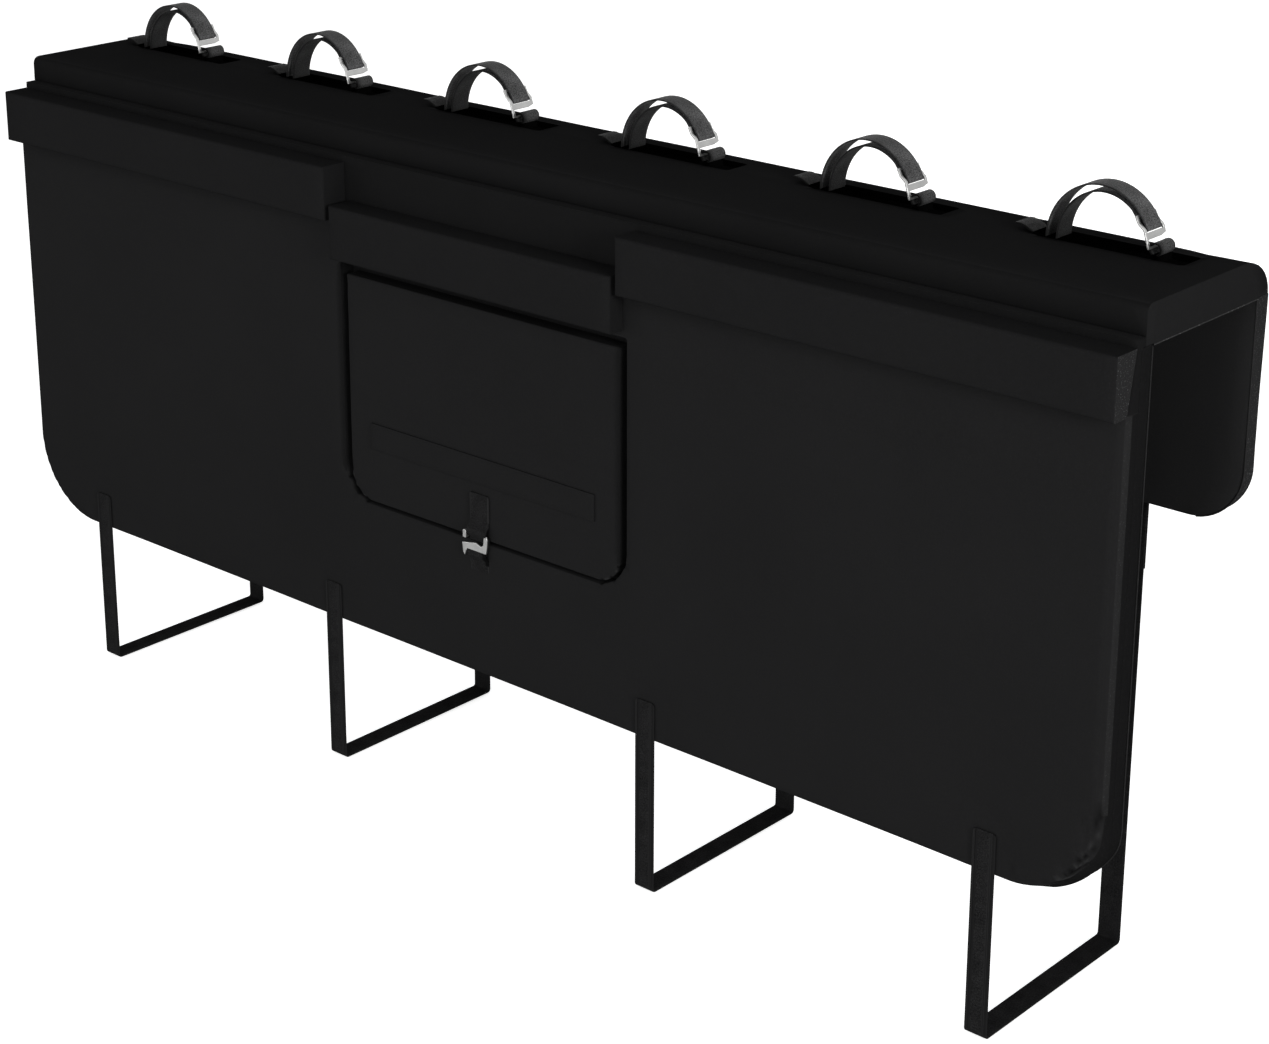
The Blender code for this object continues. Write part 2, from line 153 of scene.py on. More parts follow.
def makeStudio(spec):
    world = bpy.data.worlds.new("studioWorld")
    world.use_nodes = True
    scene.world = world
    tree = world.node_tree
    lit = tree.nodes["Background"]
    lit.inputs["Color"].default_value = (1, 1, 1, 1)
    lit.inputs["Strength"].default_value = spec["ambient"]
    mix = whiteForEye(tree, lit)
    tree.links.new(mix.outputs[0], tree.nodes["World Output"].inputs["Surface"])

    bm = bmesh.new()
    bmesh.ops.create_grid(bm, x_segments=2, y_segments=2, size=spec["floorSize"] / 2)
    bmesh.ops.translate(bm, verts=bm.verts, vec=(0, 0, spec["floor"]))
    floor = newObject("studioFloor", bm)
    mat = bpy.data.materials.new("floorPaint")
    mat.use_nodes = True
    tree = mat.node_tree
    shader = tree.nodes["Principled BSDF"]
    shader.inputs["Base Color"].default_value = (*[spec["floorGrey"]] * 3, 1)
    shader.inputs["Roughness"].default_value = 0.9
    shader.inputs["Specular IOR Level"].default_value = 0.0
    glow = tree.nodes.new("ShaderNodeEmission")          # lifts the floor to white for the eye alone
    path = tree.nodes.new("ShaderNodeLightPath")
    lift = mathNode(tree, "MULTIPLY", path.outputs["Is Camera Ray"], spec["floorLift"])
    tree.links.new(lift, glow.inputs["Strength"])
    add = tree.nodes.new("ShaderNodeAddShader")
    tree.links.new(shader.outputs[0], add.inputs[0])
    tree.links.new(glow.outputs[0], add.inputs[1])
    tree.links.new(add.outputs[0], tree.nodes["Material Output"].inputs["Surface"])
    floor.data.materials.append(mat)

    for name in ("key", "side", "fill", "rear"):
        lamp = spec[name]
        data = bpy.data.lights.new(name + "Lamp", "AREA")
        data.shape = "DISK"
        data.size = lamp["size"]
        data.energy = lamp["power"]
        light = bpy.data.objects.new(name + "Lamp", data)
        light.location = lamp["place"]
        light.rotation_mode = "QUATERNION"
        light.rotation_quaternion = (Vector(spec["aim"]) - light.location).to_track_quat("-Z", "Y")
        scene.collection.objects.link(light)


scene.view_settings.view_transform = "Standard"
makeCamera(view)
makeStudio(studio)
print("camera and studio ready")


def makeClothGroup():
    # plain weave that works on any face: the threads of the two directions in the face cross there
    group, inn, out = newGroup("packCloth", [
        ("Vector", "NodeSocketVector", None), ("Threads", "NodeSocketFloat", 5600.0),
        ("Flecks", "NodeSocketFloat", 0.3)],
        [("Height", "NodeSocketFloat"), ("Shade", "NodeSocketFloat"), ("Fleck", "NodeSocketFloat")])
    spread = group.nodes.new("ShaderNodeVectorMath")
    spread.operation = "SCALE"
    group.links.new(inn.outputs["Vector"], spread.inputs[0])
    group.links.new(inn.outputs["Threads"], spread.inputs["Scale"])
    parts = group.nodes.new("ShaderNodeSeparateXYZ")
    group.links.new(spread.outputs[0], parts.inputs[0])
    sines = [mathNode(group, "SINE", parts.outputs[axis]) for axis in "XYZ"]
    crossings = mathNode(group, "MULTIPLY", sines[0], sines[2])
    crossings = mathNode(group, "MULTIPLY_ADD", sines[0], sines[1], crossings)
    crossings = mathNode(group, "MULTIPLY_ADD", sines[1], sines[2], crossings)
    slack = noiseNode(group, inn.outputs["Vector"], 22.0, 4.0)
    height = mathNode(group, "MULTIPLY_ADD", slack, 2.2, mathNode(group, "MULTIPLY", crossings, 0.35))
    group.links.new(height, out.inputs["Height"])
    patches = noiseNode(group, inn.outputs["Vector"], 5.0, 5.0, 0.6)
    fibres = noiseNode(group, inn.outputs["Vector"], 420.0, 2.0)
    shade = rangeNode(group, patches, 0.3, 0.7, 0.40, 0.60)
    shade = mathNode(group, "MULTIPLY_ADD", crossings, 0.10, shade)
    shade = mathNode(group, "ADD", shade, rangeNode(group, fibres, 0.3, 0.7, -0.12, 0.12))
    group.links.new(shade, out.inputs["Shade"])
    specks = rangeNode(group, noiseNode(group, inn.outputs["Vector"], 760.0, 1.0), 0.62, 0.76, 0.0, 1.0)
    group.links.new(mathNode(group, "MULTIPLY", specks, inn.outputs["Flecks"]), out.inputs["Fleck"])
    return group


def makeWebbingGroup():
    # herringbone ribs along the strap, ticks across them and a plain selvage, from its own UV in metres
    group, inn, out = newGroup("strapWeave", [
        ("Vector", "NodeSocketVector", None), ("Half Width", "NodeSocketFloat", 0.0127)],
        [("Height", "NodeSocketFloat"), ("Shade", "NodeSocketFloat")])
    parts = group.nodes.new("ShaderNodeSeparateXYZ")
    group.links.new(inn.outputs["Vector"], parts.inputs[0])
    across, along = parts.outputs["X"], parts.outputs["Y"]
    bent = mathNode(group, "PINGPONG", across, 0.0032)
    slanted = mathNode(group, "MULTIPLY_ADD", bent, 0.8, along)
    ribs = mathNode(group, "SINE", mathNode(group, "MULTIPLY", slanted, 2 * math.pi / 0.0015))
    cords = mathNode(group, "SINE", mathNode(group, "MULTIPLY", across, 2 * math.pi / 0.0016))
    weave = mathNode(group, "MULTIPLY_ADD", ribs, cords, mathNode(group, "MULTIPLY", ribs, 0.6))
    inside = mathNode(group, "SUBTRACT", inn.outputs["Half Width"], mathNode(group, "ABSOLUTE", across))
    selvage = rangeNode(group, inside, 0.0006, 0.0016, 0.0, 1.0)
    height = mathNode(group, "MULTIPLY", weave, selvage)
    group.links.new(height, out.inputs["Height"])
    fuzz = noiseNode(group, inn.outputs["Vector"], 620.0, 3.0, 0.7)
    worn = noiseNode(group, inn.outputs["Vector"], 60.0, 3.0)
    shade = mathNode(group, "MULTIPLY_ADD", height, 0.17, 0.30)
    shade = mathNode(group, "ADD", shade, rangeNode(group, fuzz, 0.35, 0.7, -0.26, 0.42))
    shade = mathNode(group, "ADD", shade, rangeNode(group, worn, 0.35, 0.65, -0.06, 0.12))
    # painted shade along the strap's edges
    shade = mathNode(group, "MULTIPLY", shade, rangeNode(group, inside, 0.0002, 0.0018, 0.25, 1.0))
    group.links.new(shade, out.inputs["Shade"])
    return group


bumpDepth = 0.0002
clothGroup = makeClothGroup()
webbingGroup = makeWebbingGroup()


def startMaterial(name):
    mat = bpy.data.materials.new(name)
    mat.use_nodes = True
    tree = mat.node_tree
    return mat, tree, tree.nodes["Principled BSDF"]


def mixColour(tree, factor, first, second):
    node = tree.nodes.new("ShaderNodeMix")
    node.data_type = "RGBA"
    joined(tree, node.inputs["Factor"], factor)
    for target, colour in ((node.inputs["A"], first), (node.inputs["B"], second)):
        if isinstance(colour, (tuple, list)):
            target.default_value = (*colour, 1)
        else:
            tree.links.new(colour, target)
    return node.outputs["Result"]


def attributeNode(tree, name):
    node = tree.nodes.new("ShaderNodeAttribute")
    node.attribute_name = name
    return node.outputs["Fac"]


def setShader(tree, shader, values):
    for label, value in values.items():
        joined(tree, shader.inputs[label], value)


def bumpInto(tree, shader, height, strength):
    bump = tree.nodes.new("ShaderNodeBump")
    bump.inputs["Strength"].default_value = strength
    bump.inputs["Distance"].default_value = bumpDepth
    tree.links.new(height, bump.inputs["Height"])
    tree.links.new(bump.outputs["Normal"], shader.inputs["Normal"])


def weaveNode(tree, group, vector, values):
    node = tree.nodes.new("ShaderNodeGroup")
    node.node_tree = group
    tree.links.new(vector, node.inputs["Vector"])
    for label, value in values.items():
        node.inputs[label].default_value = value
    return node.outputs


# paintedFoldShade is the colour of the painted shade in the pleats' folds and at the groove's edges
plainCloth = {
    "threads": 5600.0, "rough": 0.9, "specular": 0.0, "bump": 0.5, "paintedFoldShade": (0.0004, 0.0004, 0.0004),
}


def clothMaterial(name, own):
    spec = {**plainCloth, **own}
    mat, tree, shader = startMaterial(name)
    place = tree.nodes.new("ShaderNodeTexCoord").outputs["Object"]
    weave = weaveNode(tree, clothGroup, place, {"Threads": spec["threads"], "Flecks": spec["flecks"]})
    plain = mixColour(tree, weave["Shade"], spec["dark"], spec["light"])
    colour = mixColour(tree, weave["Fleck"], plain, spec["fleck"])
    if "pleats" in spec:
        folds = attributeNode(tree, "paintedClothShading")     # painted highlight on the crests, painted shade in the folds and at the groove's edges
        colour = mixColour(tree, rangeNode(tree, folds, 0.0, 1.0, 0.0, 1.0), colour, spec["pleats"])
        colour = mixColour(tree, rangeNode(tree, folds, 0.0, -1.0, 0.0, 0.95), colour, spec["paintedFoldShade"])
    rough = rangeNode(tree, weave["Shade"], 0.2, 0.8, spec["rough"] + 0.05, spec["rough"] - 0.05)
    setShader(tree, shader, {"Base Color": colour, "Roughness": rough,
                             "Specular IOR Level": spec["specular"]})
    bumpInto(tree, shader, weave["Height"], spec["bump"])
    return mat


# the pleats colour here is the painted highlight on the pleats' crests
packCloth = clothMaterial("packCloth", {
    "dark": (0.0090, 0.0090, 0.0092), "light": (0.0150, 0.0150, 0.0153), "fleck": (0.036, 0.036, 0.037),
    "flecks": 0.12, "pleats": (0.040, 0.040, 0.041)})
bumperCloth = clothMaterial("bumperCloth", {
    "dark": (0.0080, 0.0080, 0.0082), "light": (0.0132, 0.0132, 0.0135), "fleck": (0.040, 0.040, 0.041),
    "flecks": 0.15})
# painted light: a lighter copy of the cover's cloth on the lip's top, standing in for the light the crease
# under the top pad shuts out
lipPaintedLightCloth = clothMaterial("lipPaintedLightCloth", {
    "dark": (0.0120, 0.0120, 0.0122), "light": (0.0195, 0.0195, 0.0198), "fleck": (0.030, 0.030, 0.031),
    "flecks": 0.1})
# painted shade: a darker copy of the cover's cloth for the lip behind the bumpers and the top pad's front
# edge
shadeCloth = clothMaterial("shadeCloth", {
    "dark": (0.0062, 0.0062, 0.0063), "light": (0.0105, 0.0105, 0.0107), "fleck": (0.020, 0.020, 0.021),
    "flecks": 0.1})
liningCloth = clothMaterial("liningCloth", {
    "dark": (0.0055, 0.0055, 0.0056), "light": (0.0095, 0.0095, 0.0097), "fleck": (0.030, 0.030, 0.031),
    "threads": 7400.0, "flecks": 0.35, "rough": 0.92, "bump": 0.4})
# painted light: a lighter cloth on the rear flap's inner face, standing in for light reaching into the
# channel
innerPaintedLightCloth = clothMaterial("innerPaintedLightCloth", {
    "dark": (0.0130, 0.0130, 0.0132), "light": (0.0200, 0.0200, 0.0203), "fleck": (0.040, 0.040, 0.041),
    "threads": 7400.0, "flecks": 0.25, "rough": 0.92, "bump": 0.4})
# painted highlight: a lighter copy of the cover's cloth on the rolled rim; its pleats colour is the painted
# highlight on the corner's crests
rimHighlightCloth = clothMaterial("rimHighlightCloth", {
    "dark": (0.0110, 0.0110, 0.0112), "light": (0.0205, 0.0205, 0.0208), "fleck": (0.055, 0.055, 0.056),
    "flecks": 0.5, "rough": 0.85, "pleats": (0.050, 0.050, 0.051)})
endCloth = clothMaterial("endCloth", {
    "dark": (0.0150, 0.0150, 0.0152), "light": (0.0180, 0.0180, 0.0183), "fleck": (0.120, 0.120, 0.122),
    "flecks": 0.8})
# painted shade: near-black cloth for the inside of the slots
slotShadeCloth = clothMaterial("slotShadeCloth", {
    "dark": (0.0003, 0.0003, 0.0003), "light": (0.0008, 0.0008, 0.0008), "fleck": (0.003, 0.003, 0.003),
    "flecks": 0.2, "rough": 0.95, "bump": 0.3})
pipingCloth = clothMaterial("pipingCloth", {
    "dark": (0.014, 0.014, 0.0142), "light": (0.028, 0.028, 0.0283), "fleck": (0.06, 0.06, 0.06),
    "threads": 9000.0, "flecks": 0.4, "rough": 0.8})
seamCloth = clothMaterial("seamCloth", {
    "dark": (0.010, 0.010, 0.0102), "light": (0.050, 0.050, 0.0505), "fleck": (0.16, 0.16, 0.16),
    "threads": 900.0, "flecks": 0.9, "rough": 0.8})
threadCotton = clothMaterial("threadCotton", {
    "dark": (0.008, 0.008, 0.008), "light": (0.015, 0.015, 0.015), "fleck": (0.03, 0.03, 0.03),
    "threads": 12000.0, "flecks": 0.3, "rough": 0.8, "specular": 0.03})


def webbingMaterial(name, spec):
    mat, tree, shader = startMaterial(name)
    place = tree.nodes.new("ShaderNodeUVMap")
    place.uv_map = "UVMap"
    weave = weaveNode(tree, webbingGroup, place.outputs["UV"], {"Half Width": spec["half"]})
    # painted shade and light from the paintedShading attribute
    left = mathNode(tree, "SUBTRACT", 1.0, attributeNode(tree, "paintedShading"))
    shade = mathNode(tree, "MULTIPLY", weave["Shade"], left)
    colour = mixColour(tree, shade, spec["dark"], spec["light"])
    rough = rangeNode(tree, weave["Shade"], 0.0, 0.8, 0.62, 0.42)
    setShader(tree, shader, {"Base Color": colour, "Roughness": rough,
                             "Specular IOR Level": spec["specular"]})
    bumpInto(tree, shader, weave["Height"], spec["bump"])
    return mat


strapWebbing = webbingMaterial("strapWebbing", {
    "dark": (0.003, 0.003, 0.003), "light": (0.200, 0.200, 0.202), "half": 0.0127, "specular": 0.10,
    "bump": 0.8})
loopWebbing = webbingMaterial("loopWebbing", {
    "dark": (0.001, 0.001, 0.001), "light": (0.145, 0.145, 0.146), "half": 0.0127, "specular": 0.04,
    "bump": 0.8})
lowerWebbing = webbingMaterial("lowerWebbing", {
    "dark": (0.0040, 0.0040, 0.0041), "light": (0.0300, 0.0300, 0.0305), "half": 0.0165, "specular": 0.0,
    "bump": 0.6})
# painted shade: near-black webbing for the parts down in a slot
slotShadeWebbing = webbingMaterial("slotShadeWebbing", {
    "dark": (0.0003, 0.0003, 0.0003), "light": (0.0050, 0.0050, 0.0050), "half": 0.0127, "specular": 0.0,
    "bump": 0.6})


def makeBuckleSteel():
    mat, tree, shader = startMaterial("buckleSteel")
    place = tree.nodes.new("ShaderNodeTexCoord")
    stretch = tree.nodes.new("ShaderNodeMapping")
    stretch.inputs["Scale"].default_value = (1.0, 14.0, 14.0)      # brushed along its width
    tree.links.new(place.outputs["Object"], stretch.inputs["Vector"])
    brushed = noiseNode(tree, stretch.outputs["Vector"], 160.0, 3.0)
    smears = noiseNode(tree, place.outputs["Object"], 70.0, 4.0)
    steel = mixColour(tree, smears, (0.36, 0.36, 0.36), (0.56, 0.56, 0.55))
    rough = rangeNode(tree, brushed, 0.3, 0.7, 0.30, 0.44)
    setShader(tree, shader, {"Base Color": steel, "Roughness": rough, "Metallic": 1.0})
    bumpInto(tree, shader, brushed, 0.25)
    return mat


buckleSteel = makeBuckleSteel()
print("materials ready")


def finishPiece(name, bm, finishes, nodes, smoothAngle=40):
    piece = newObject(name, bm)
    for material in finishes:
        piece.data.materials.append(material)
    piece.data.shade_smooth()
    piece.data.set_sharp_from_angle(angle=math.radians(smoothAngle))
    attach(piece, "root")
    if nodes:
        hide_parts(*nodes)
    return piece


def paintFaces(piece, choose):
    for face in piece.data.polygons:
        face.material_index = choose(face)


def softEdge(piece, width, angle):
    edge = piece.modifiers.new("edge", "BEVEL")
    edge.width = width
    edge.segments = 2
    edge.limit_method = "ANGLE"
    edge.angle_limit = math.radians(angle)


def sliceBy(bm, axis, places):
    normal = Vector((0, 0, 0))
    normal[axis] = 1
    for place in places:
        point = Vector((0, 0, 0))
        point[axis] = place
        bmesh.ops.bisect_plane(bm, geom=bm.verts[:] + bm.edges[:] + bm.faces[:], dist=1e-6,
                               plane_co=point, plane_no=normal)


def spread(low, high, pitch):
    count = max(1, round((high - low) / pitch))
    return [low + (high - low) * i / count for i in range(1, count)]


def rounded(bm, geom, offset, segments, affect="EDGES"):
    bmesh.ops.bevel(bm, geom=geom, offset=offset, offset_type="OFFSET", affect=affect, segments=segments,
                    profile=0.5, material=-1)


def pushed(bm, faces, depth):
    # gives flat faces a thickness along y
    grown = bmesh.ops.extrude_face_region(bm, geom=faces)
    moved = [item for item in grown["geom"] if isinstance(item, bmesh.types.BMVert)]
    bmesh.ops.translate(bm, vec=(0, depth, 0), verts=moved)


def uprightGrid(spec, y, columns=1, rows=1):
    bm = bmesh.new()
    bmesh.ops.create_grid(bm, x_segments=columns, y_segments=rows, size=0.5)
    bmesh.ops.scale(bm, vec=(spec["right"] - spec["left"], spec["top"] - spec["bottom"], 1), verts=bm.verts)
    bmesh.ops.rotate(bm, cent=(0, 0, 0), matrix=Matrix.Rotation(math.pi / 2, 3, "X"), verts=bm.verts)
    middle = ((spec["left"] + spec["right"]) / 2, y, (spec["top"] + spec["bottom"]) / 2)
    bmesh.ops.translate(bm, vec=middle, verts=bm.verts)
    return bm


def gridded(bm, spec, extra=()):
    sliceBy(bm, 0, [*spread(spec["left"], spec["right"], spec["pitch"]), *extra])
    sliceBy(bm, 2, spread(spec["bottom"], spec["top"], spec["pitch"]))


def slab(spec):
    # an upright padded slab: its lower corners rounded, both faces' rims rolled
    bm = uprightGrid(spec, spec["front"])
    middle = (spec["top"] + spec["bottom"]) / 2
    for corner, isLow in (("cornerLow", True), ("cornerHigh", False)):
        if corner in spec:
            chosen = [v for v in bm.verts if (v.co.z < middle) == isLow]
            rounded(bm, chosen, spec[corner], spec["cornerSteps"], "VERTICES")
    pushed(bm, bm.faces[:], spec["back"] - spec["front"])
    bmesh.ops.recalc_face_normals(bm, faces=bm.faces)
    for depth, width in ((spec["front"], spec["frontRim"]), (spec["back"], spec.get("backRim", 0))):
        if width:
            rim = [e for e in bm.edges if all(abs(v.co.y - depth) < 1e-6 for v in e.verts)
                   and not (spec.get("flatTop") and all(abs(v.co.z - spec["top"]) < 1e-6 for v in e.verts))]
            rounded(bm, rim, width, 4)
    for width in spec.get("rings", ()):
        ringIn(bm, spec["front"], width)
    return bm


def ringIn(bm, front, width):
    # a ring of faces inside the front face's edges, so that folds there stay narrow
    faces = [f for f in bm.faces if f.normal.y < -0.99 and abs(f.calc_center_median().y - front) < 1e-5]
    area = max(f.calc_area() for f in faces)
    faces = [f for f in faces if f.calc_area() > area * 0.001]
    bmesh.ops.inset_region(bm, faces=faces, thickness=width, use_even_offset=True)


def carved(bm, toolMesh):
    # takes the tool's shape out of the mesh
    body, tool = newObject("carvedBody", bm), newObject("carvingTool", toolMesh)
    step = body.modifiers.new("carve", "BOOLEAN")
    step.operation = "DIFFERENCE"
    step.solver = "EXACT"
    step.object = tool
    result = bmesh.new()
    result.from_object(body, bpy.context.evaluated_depsgraph_get())
    for thing in (body, tool):
        bpy.data.objects.remove(thing, do_unlink=True)
    bmesh.ops.remove_doubles(result, verts=result.verts, dist=1e-5)
    return result


def nodeCopy(node):
    # a CAD node's mesh is loose triangles, so its copy is merged and its flat faces joined
    bm = bmesh.new()
    bm.from_mesh(bpy.data.objects[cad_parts[node].name].data)
    bmesh.ops.remove_doubles(bm, verts=bm.verts, dist=1e-6)
    bmesh.ops.dissolve_limit(bm, angle_limit=math.radians(1), verts=bm.verts, edges=bm.edges)
    return bm


def smoothStep(value, low, high):
    t = min(1.0, max(0.0, (value - low) / (high - low)))
    return t * t * (3 - 2 * t)


def swell(piece, spec, share):
    # foam fills the cover: cloth under a little pressure, held by share(point) and never past its cap
    mesh = piece.data
    rest = [v.co.copy() for v in mesh.vertices]
    held = [share(p) for p in rest]
    cloth = piece.modifiers.new("filling", "CLOTH")
    cloth.settings.quality = 4
    cloth.settings.mass = 0.3
    cloth.settings.tension_stiffness = 12
    cloth.settings.compression_stiffness = 12
    cloth.settings.bending_stiffness = spec.get("stiff", 0.6)
    cloth.settings.use_pressure = True
    cloth.settings.uniform_pressure_force = spec["pressure"]
    cloth.settings.effector_weights.gravity = 0
    cloth.collision_settings.use_collision = False
    pins = piece.vertex_groups.new(name="seams")
    for index, value in enumerate(held):
        if value < 0.02:
            pins.add([index], 1.0, "REPLACE")
    cloth.settings.vertex_group_mass = "seams"
    for number in range(1, 21):
        scene.frame_set(number)
    shaped = piece.evaluated_get(bpy.context.evaluated_depsgraph_get())
    swollen = [v.co.copy() for v in shaped.data.vertices]
    piece.modifiers.remove(cloth)
    piece.vertex_groups.clear()
    scene.frame_set(1)
    for vertex, start, end, value in zip(mesh.vertices, rest, swollen, held):
        move = end - start
        if move.length > spec["cap"]:
            move.length = spec["cap"]
        along = spec.get("along")                    # a slab swells through its thickness alone
        if along is not None:
            move = Vector([part if axis == along else part * 0.15 for axis, part in enumerate(move)])
        vertex.co = start + move * value
    mesh.update()


def clothShadingLayer(mesh):
    # painted light above nought, painted shade below it
    made = mesh.attributes.get("paintedClothShading") or mesh.attributes.new("paintedClothShading", "FLOAT", "POINT")
    return made.data


def pucker(piece, spec):
    # pleats where the cover is drawn round a corner, each a narrow fold between two full ones
    mesh = piece.data
    folds = clothShadingLayer(mesh)
    cx, cz = spec["centre"]
    first, last = spec["from"]
    for vertex in mesh.vertices:
        away = Vector((vertex.co.x - cx, 0, vertex.co.z - cz))
        angle = math.degrees(math.atan2(-away.z, away.x * spec["side"]))
        if away.length < spec["radius"] * 0.7 or not first - 8 < angle < last + 8:
            continue
        if spec["outside"]:
            reach = 1 - smoothStep(away.length, spec["radius"], spec["radius"] + spec["fade"])
        else:
            reach = smoothStep(away.length, spec["radius"] - spec["fade"], spec["radius"])
        span = smoothStep(angle, first - 8, first + 2) * (1 - smoothStep(angle, last - 10, last + 8))
        wobble = noise.noise(Vector((angle * 0.06, spec["side"], 0.7)))
        inside = max(0, spec["radius"] - away.length)
        turned = angle - inside * spec.get("lean", 0) * (0.6 + 0.08 * max(0, angle))
        wave = math.sin(turned * spec["pleats"] * math.pi / 90 + wobble * spec.get("loose", 2.5)
                        + spec.get("start", 0))
        amount = reach * span * (0.5 - 0.5 * wave) ** 2 * (1 + 0.5 * wobble)
        nearFront = 1 - smoothStep(vertex.co.y, spec["front"], spec["front"] + spec["depthFade"])
        slip = 1 - smoothStep(angle, 40, 62) * (0 if spec["outside"] else 0.9)
        vertex.co -= away.normalized() * spec["inward"] * amount * nearFront * slip
        vertex.co.y += spec["sink"] * amount * nearFront
        # painted highlight on the crests, painted shade in the folds
        tone = max(0.0, wave) ** 3 * spec["crest"] - max(0.0, -wave) ** 3 * spec["fold"]
        shade = min(1.0, reach * 2.2) * span * nearFront * tone
        if shade:
            folds[vertex.index].value = shade
    mesh.update()


def shadeEdge(piece, tone):
    # painted shade: darker cloth where an upright edge turns away into the groove round the access flap
    folds = clothShadingLayer(piece.data)
    for vertex in piece.data.vertices:
        p = vertex.co
        inGroove = windowShape["shadeLow"] < p.z < windowShape["top"] and p.y < panelShape["front"] + 0.006
        if inGroove and tone(p.x):
            folds[vertex.index].value = -tone(p.x)


def paintedShading(piece, share):
    # painted shade: how much darker the webbing is painted at each point; below nought it is painted light
    made = piece.data.attributes.new("paintedShading", "FLOAT", "POINT")
    for vertex in piece.data.vertices:
        made.data[vertex.index].value = share(vertex.co)


def runLength(path):
    total = [0.0]
    for first, second in zip(path, path[1:]):
        total.append(total[-1] + (Vector(second) - Vector(first)).length)
    return total


def strap(name, path, axis, centre, spec, material, nodes, closed=False):
    # flat webbing: a strip of grid laid along a path in the plane across axis
    if closed:
        path = [*path, path[0]]
    count = len(path) - 1
    lengths = runLength(path)
    bm = bmesh.new()
    uvs = bm.loops.layers.uv.new("UVMap")
    bmesh.ops.create_grid(bm, x_segments=count, y_segments=spec.get("across", 4), size=0.5)
    half = spec["width"] / 2
    for face in bm.faces:
        for loop in face.loops:
            column = round((loop.vert.co.x + 0.5) * count)
            loop[uvs].uv = (loop.vert.co.y * 2 * half, lengths[column])
    for vertex in bm.verts:
        point = path[round((vertex.co.x + 0.5) * count)]
        aside = centre + vertex.co.y * 2 * half
        vertex.co = (aside, point[0], point[1]) if axis == 0 else (point[0], aside, point[1])
    if closed:
        bmesh.ops.remove_doubles(bm, verts=bm.verts, dist=1e-6)
    if spec.get("roundEnd"):
        first = Vector((path[0][0], path[0][1]))
        ends = [v for v in bm.verts if len(v.link_faces) == 1
                and (Vector(v.co.yz if axis == 0 else v.co.xz) - first).length < 1e-6]
        rounded(bm, ends, spec["roundEnd"], 4, "VERTICES")
    # painted shade: below shadedBelow the webbing down in the slot takes the near-black copy
    finishes = [material, slotShadeWebbing] if "shadedBelow" in spec else [material]
    piece = finishPiece(name, bm, finishes, nodes, 60)
    if "shadedBelow" in spec:
        paintFaces(piece, lambda face: 1 if face.center.z < spec["shadedBelow"] else 0)
    wall = piece.modifiers.new("wall", "SOLIDIFY")
    wall.thickness = spec["thick"]
    wall.offset = 0
    wall.use_even_offset = True
    softEdge(piece, spec["thick"] * 0.28, 50)
    return piece


def tube(bm, path, radius, around=8):
    # a thin round cord along the path, its ends closed
    points = [Vector(p) for p in path]
    made = bmesh.ops.create_circle(bm, cap_ends=True, radius=radius, segments=around,
                                   matrix=Matrix.Identity(4))["verts"]
    tangents = []
    for i, point in enumerate(points):
        before = points[max(0, i - 1)]
        after = points[min(len(points) - 1, i + 1)]
        tangents.append((after - before).normalized())
    turn = tangents[0].to_track_quat("Z", "Y")
    for v in made:
        v.co = turn @ v.co + points[0]
    face = next(f for f in bm.faces if set(f.verts) == set(made))
    for i in range(1, len(points)):
        grown = bmesh.ops.extrude_face_region(bm, geom=[face])
        ring = [item for item in grown["geom"] if isinstance(item, bmesh.types.BMVert)]
        bmesh.ops.delete(bm, geom=[face], context="FACES_ONLY")
        face = next(item for item in grown["geom"] if isinstance(item, bmesh.types.BMFace)
                    and set(item.verts) == set(ring))
        step = tangents[i - 1].rotation_difference(tangents[i])
        for v in ring:
            v.co = step @ (v.co - points[i - 1]) + points[i]
    return bm


def stitchRow(bm, path, up, spec):
    # a row of stitches: small capsules that sit half in the cloth
    points = [Vector(p) for p in path]
    lengths = runLength(points)
    step = spec["pitch"]
    place = step / 2
    index = 0
    while place < lengths[-1]:
        while lengths[index + 1] < place:
            index += 1
        along = (points[index + 1] - points[index]).normalized()
        centre = points[index] + along * (place - lengths[index])
        side = Vector(up).cross(along).normalized()
        turn = Matrix((along, side, Vector(up))).transposed().to_4x4()
        size = Matrix.Diagonal((step * 0.36, spec["thread"] * 0.6, spec["thread"] * 0.5, 1))
        bmesh.ops.create_icosphere(bm, subdivisions=1, radius=1,
                                   matrix=Matrix.Translation(centre) @ turn @ size)
        place += step


def arcPoints(cx, cz, wide, high, start, end, steps):
    made = []
    for i in range(steps + 1):
        angle = math.radians(start + (end - start) * i / steps)
        made.append((cx + wide * math.cos(angle), cz + high * math.sin(angle)))
    return made


def roundedPath(points, radius, steps=5):
    made = [Vector(points[0])]
    for before, corner, after in zip(points, points[1:], points[2:]):
        corner = Vector(corner)
        toBefore = (Vector(before) - corner).normalized()
        toAfter = (Vector(after) - corner).normalized()
        reach = radius / math.tan(toBefore.angle(toAfter) / 2)
        start, end = corner + toBefore * reach, corner + toAfter * reach
        for i in range(steps + 1):
            t = i / steps
            made.append(start.lerp(corner, t).lerp(corner.lerp(end, t), t))
    made.append(Vector(points[-1]))
    return made


